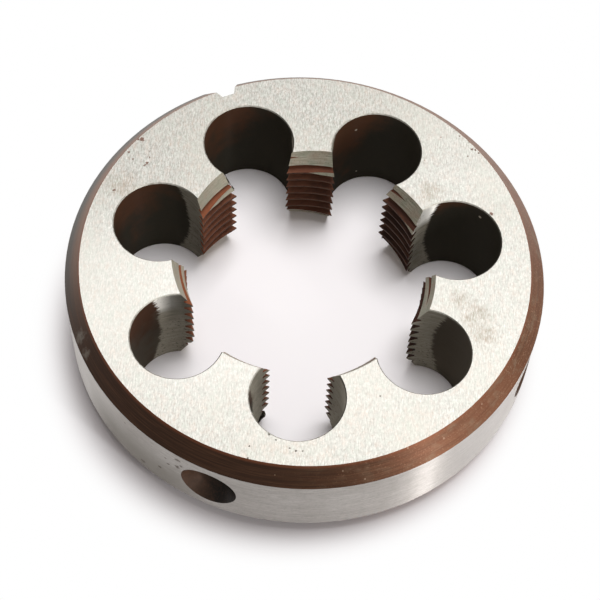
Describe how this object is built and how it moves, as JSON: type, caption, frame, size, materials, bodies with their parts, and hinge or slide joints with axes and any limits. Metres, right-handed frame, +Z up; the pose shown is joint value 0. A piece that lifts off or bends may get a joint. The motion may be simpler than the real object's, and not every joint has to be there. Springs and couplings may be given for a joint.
{
  "type": "round threading die",
  "caption": "Thick round steel die for cutting pipe thread, lying flat: threaded bore with chip holes round it, bevelled brown edges and screw recesses in the rim.",
  "frame": {"origin": "centre of the lower face, on the bore's axis", "axes": "+Z up along the bore's axis, +Y to the far side, +X to the right; the rim's notch is 115.1 degrees round from +X"},
  "size_m": [0.09, 0.09, 0.022],
  "materials": {
    "steel": "ground faces, brown heat scale on the bevels, dark walls in the holes"
  },
  "bodies": {
    "root": {"threading_die": "steel"}
  },
  "joints": []
}
